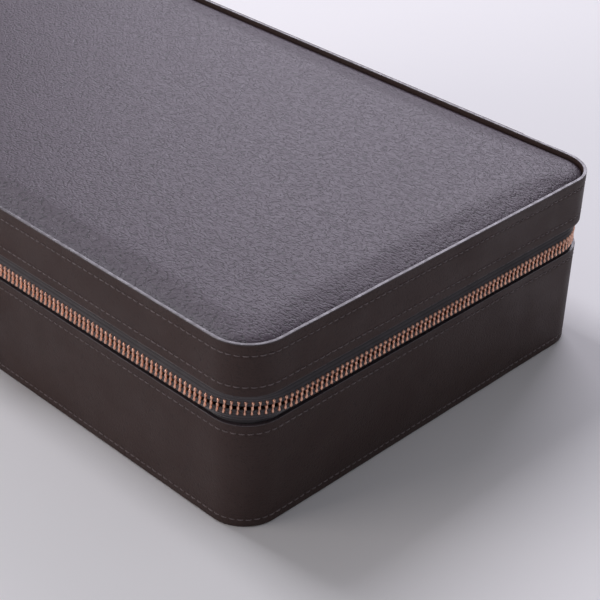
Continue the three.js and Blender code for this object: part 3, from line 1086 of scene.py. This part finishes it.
def soft_board(name, low, high, body, finish, round_by, subdivide=10):
    shape = bmesh.new()
    bmesh.ops.create_cube(shape, size=1)
    middle, size = (low + high) / 2, high - low
    for vertex in shape.verts:
        vertex.co = middle + Vector([vertex.co[axis] * size[axis] for axis in range(3)])
    bmesh.ops.bevel(shape, geom=shape.edges[:], offset=round_by, segments=3, profile=0.5, affect="EDGES")
    long_edges = [edge for edge in shape.edges if edge.calc_length() > 0.3 * max(size)]
    bmesh.ops.subdivide_edges(shape, edges=long_edges, cuts=subdivide, use_grid_fill=True)
    points = [vertex.co + vertex.normal * 0.08 * MM * noise.noise(vertex.co * 60) for vertex in shape.verts]
    shape.verts.index_update()
    faces = [tuple(vertex.index for vertex in face.verts) for face in shape.faces]
    shape.free()
    return add_piece(name, points, faces, body, finish, sharp=60)


for name in sorted(dividers):
    low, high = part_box(name)
    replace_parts(soft_board(f"suede_{name}", low, high, "base", SUEDE, 0.9 * MM), name)

floor_low, floor_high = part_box("base_floor_pad")
inside = lining_high.x - 1.5 * MM
inside_y = lining_high.y - 1.5 * MM


def floor_cells():
    bay_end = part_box("section_divider")
    crossings = [corner.x for number in (1, 2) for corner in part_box(f"cross_divider_front_{number}")]
    columns = [bay_end[1].x] + crossings + [inside]
    half_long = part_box("long_divider")[1].y
    cells = [((-inside, -inside_y), (bay_end[0].x, inside_y))]
    for left, right in zip(columns[0::2], columns[1::2]):
        cells += [((left, -inside_y), (right, -half_long)), ((left, half_long), (right, inside_y))]
    return cells


cloth_top = Vector((floor_high.x, floor_high.y, floor_low.z + 1.2 * MM))
floor_cloth = pad_piece("floor_cloth", floor_low, cloth_top, inset_radius(floor_high), 0.1 * MM, 1 * MM,
                        8 * MM, "base", SUEDE)
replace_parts(floor_cloth, "base_floor_pad")
for index, ((x0, y0), (x1, y1)) in enumerate(floor_cells()):
    edge = 0.5 * MM
    crown = 0.6 * MM if index == 0 else 1.4 * MM
    low = Vector((x0 + edge, y0 + edge, cloth_top.z))
    high = Vector((x1 - edge, y1 - edge, floor_high.z - 0.8 * MM + crown))
    pad = pad_piece(f"floor_pad_{index}", low, high, 7 * MM, crown, 9 * MM, 4 * MM, "base", SUEDE)

# %% [markdown]
# Ring rolls are foam sausages in suede. Rings of points down the length are lofted together; the ends are
# drawn in like a bolster's, and a slow noise keeps any two from being alike.

# %% Ring rolls


def ring_roll(name):
    low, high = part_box(name)
    radius, middle = (high.z - low.z) / 2, (low + high) / 2
    end = 5 * MM
    xs = [low.x + end * (1 - math.cos(step * math.pi / 12)) for step in range(7)]
    xs += [low.x + end + (high.x - low.x - 2 * end) * step / 16 for step in range(1, 16)]
    xs += [high.x - end * (1 - math.cos(step * math.pi / 12)) for step in range(6, -1, -1)]
    rings = []
    for x in xs:
        inset = max(0.0, end - min(x - low.x, high.x - x)) / end
        size = radius * (0.35 + 0.65 * math.sqrt(1 - inset ** 2))
        ring = []
        for side in range(28):
            angle = side * 2 * math.pi / 28
            spot = Vector((x, middle.y + size * math.cos(angle), middle.z + size * math.sin(angle)))
            pull = 0.3 * MM * noise.noise(spot * 70) - 0.25 * MM
            ring.append(spot + (spot - Vector((x, middle.y, middle.z))).normalized() * pull)
        rings.append(ring)
    points, faces = lofted(rings)
    roll = add_piece(f"suede_{name}", points, faces, "base", SUEDE, sharp=50)
    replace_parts(roll, name)


for name in sorted(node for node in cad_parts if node.startswith("ring_roll")):
    ring_roll(name)

# %% [markdown]
# Sliders and pulls. A slider is a die-cast body: a shield-shaped face and back joined by a post, with a
# bridge on the face. The pull hangs from the bridge. Flat shapes with rounded edges are made as 2D curves
# with a bevel, which also cut their own holes, and are then turned into meshes.

# %% Plates from curves


def plate(name, loops, thick, bevel, place, body, finish):
    """A plate standing in the XZ plane; place is the middle of its thickness."""
    curve = bpy.data.curves.new(name, "CURVE")
    curve.dimensions, curve.fill_mode = "2D", "BOTH"
    curve.extrude, curve.bevel_depth, curve.bevel_resolution = thick / 2 - bevel, bevel, 3
    curve.offset = -bevel
    for loop in loops:
        spline = curve.splines.new("POLY")
        spline.points.add(len(loop) - 1)
        for point, (x, z) in zip(spline.points, loop):
            point.co = (x, z, 0, 1)
        spline.use_cyclic_u = True
    shaper = bpy.data.objects.new(name + "_shaper", curve)
    bpy.context.scene.collection.objects.link(shaper)
    mesh = bpy.data.meshes.new_from_object(shaper.evaluated_get(bpy.context.evaluated_depsgraph_get()))
    shape = bmesh.new()
    shape.from_mesh(mesh)
    bmesh.ops.remove_doubles(shape, verts=shape.verts, dist=0.005 * MM)
    points = [Vector((vertex.co.x, -vertex.co.z, vertex.co.y)) + place for vertex in shape.verts]
    shape.verts.index_update()
    faces = [tuple(vertex.index for vertex in face.verts) for face in shape.faces]
    shape.free()
    bpy.data.objects.remove(shaper)
    return add_piece(name, points, faces, body, finish, sharp=35)


def arc_points(x, z, radius, start, end, steps=14):
    angles = [math.radians(start + (end - start) * step / steps) for step in range(steps + 1)]
    return [(x + radius * math.cos(angle), z + radius * math.sin(angle)) for angle in angles]


# %% [markdown]
# The face of the slider is wide at its mouth, where the two rows of teeth part, and narrow at its tail.
# The two sliders meet mouth to mouth at the middle of the front.

# %% Sliders and pulls


def shield(side, half_long, half_high, tail=0.62):
    """A plate wide at its mouth, which points towards the middle of the case, and narrow at its tail."""
    outline = [(-half_long, -half_high), (half_long * 0.2, -half_high), (half_long, -half_high * tail),
               (half_long, half_high * tail), (half_long * 0.2, half_high), (-half_long, half_high)]
    rounded = [tuple(point) for point in soften(outline, 1.6 * MM, 5)]
    return [(side * x, z) for x, z in rounded]


def slider(word, side):
    body_name = f"slider_{word}"
    low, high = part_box(f"slider_body_{word}")
    bridge_low, bridge_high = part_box(f"slider_bridge_{word}")
    middle_x, half_long = (low.x + high.x) / 2, (high.x - low.x) / 2
    half_high, thick = (high.z - low.z) / 2, 1.6 * MM
    face = plate(f"slider_face_{word}", [shield(side, half_long, half_high)], thick, 0.45 * MM,
                 Vector((middle_x, low.y + thick / 2, zip_z)), body_name, COPPER)
    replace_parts(face, f"slider_body_{word}")
    plate(f"slider_back_{word}", [shield(side, half_long, half_high * 0.8)], thick, 0.4 * MM,
          Vector((middle_x, high.y - thick / 2, zip_z)), body_name, COPPER)
    post_x = middle_x - side * half_long * 0.5
    post_low = Vector((post_x - 2 * MM, low.y + thick * 0.7, zip_z - 0.4 * MM))
    post_high = Vector((post_x + 2 * MM, high.y - thick * 0.7, zip_z + 0.4 * MM))
    soft_board(f"slider_post_{word}", post_low, post_high, body_name, COPPER, 0.2 * MM, 2)
    node_name = f"slider_bridge_{word}"
    arch(f"slider_arch_{word}", bridge_low, bridge_high, low.y + 0.3 * MM, body_name, node_name)
    pull(word)


def arch(name, low, high, foot_y, body, node_name):
    """A staple with soft shoulders: round bar, carried along a path from one leg over to the other."""
    bar = (high.z - low.z) / 2
    near, far = low.x + bar, high.x - bar
    top = low.y + bar
    leg = [(0.0, foot_y), (0.0, (foot_y + top) / 2), (0.0, top + 0.9 * MM),
           (0.35 * MM, top + 0.25 * MM), (1.1 * MM, top)]
    path = [(near + x, y) for x, y in leg] + [(far - x, y) for x, y in reversed(leg)]
    rings = []
    for index, (x, y) in enumerate(path):
        before, after = path[max(index - 1, 0)], path[min(index + 1, len(path) - 1)]
        along = Vector((after[0] - before[0], after[1] - before[1], 0)).normalized()
        out = Vector((along.y, -along.x, 0))
        angles = [-side * 2 * math.pi / 12 for side in range(12)]
        rings.append([Vector((x, y, (low.z + high.z) / 2)) + out * bar * math.cos(angle)
                      + Vector((0, 0, bar * math.sin(angle))) for angle in angles])
    points, faces = lofted(rings)
    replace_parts(add_piece(name, points, faces, body, COPPER, sharp=50), node_name)


def pull(word):
    low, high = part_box(f"pull_tab_{word}")
    radius = (high.x - low.x) / 2
    drop = high.z - low.z - 2 * radius
    waist = radius * 0.72
    outline = arc_points(0, 0, radius, 0, 180) + [(-waist, -drop * 0.35)]
    outline += arc_points(0, -drop, radius, 180, 360) + [(waist, -drop * 0.35)]
    eye = arc_points(0, 0, 1.75 * MM, 360, 0, 20)[:-1]
    window = [(x, z) for x, z in arc_points(0, -drop, radius * 0.5, 180, 360)]
    window += [(x, z) for x, z in arc_points(0, -drop * 0.55, radius * 0.5, 0, 180)]
    place = Vector(((low.x + high.x) / 2, (low.y + high.y) / 2, high.z - radius))
    tab = plate(f"pull_{word}", [outline, eye, window[::-1]], high.y - low.y, 0.35 * MM, place,
                f"pull_{word}", COPPER)
    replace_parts(tab, f"pull_tab_{word}")


slider("right", 1)
slider("left", -1)

# %% [markdown]
# What is left of the CAD model is the boards and the foam. Their shapes are right, and they hardly show,
# so they stay and only get their finishes.

# %% Finishes for the boards and the foam
for name in ("base_floor_board", "base_wall_board", "lid_wall_board", "lid_top_board"):
    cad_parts[name].material_slots[0].material = BOARD
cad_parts["lid_foam"].material_slots[0].material = FOAM

# %% [markdown]
# The end of the file.

# %% Finish
seen_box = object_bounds()
sizes = {"cad": [list(corner) for corner in cad_box], "visual": [list(corner) for corner in seen_box]}
for name, corners in sizes.items():
    print(name, [[round(value / MM, 1) for value in corner] for corner in corners])
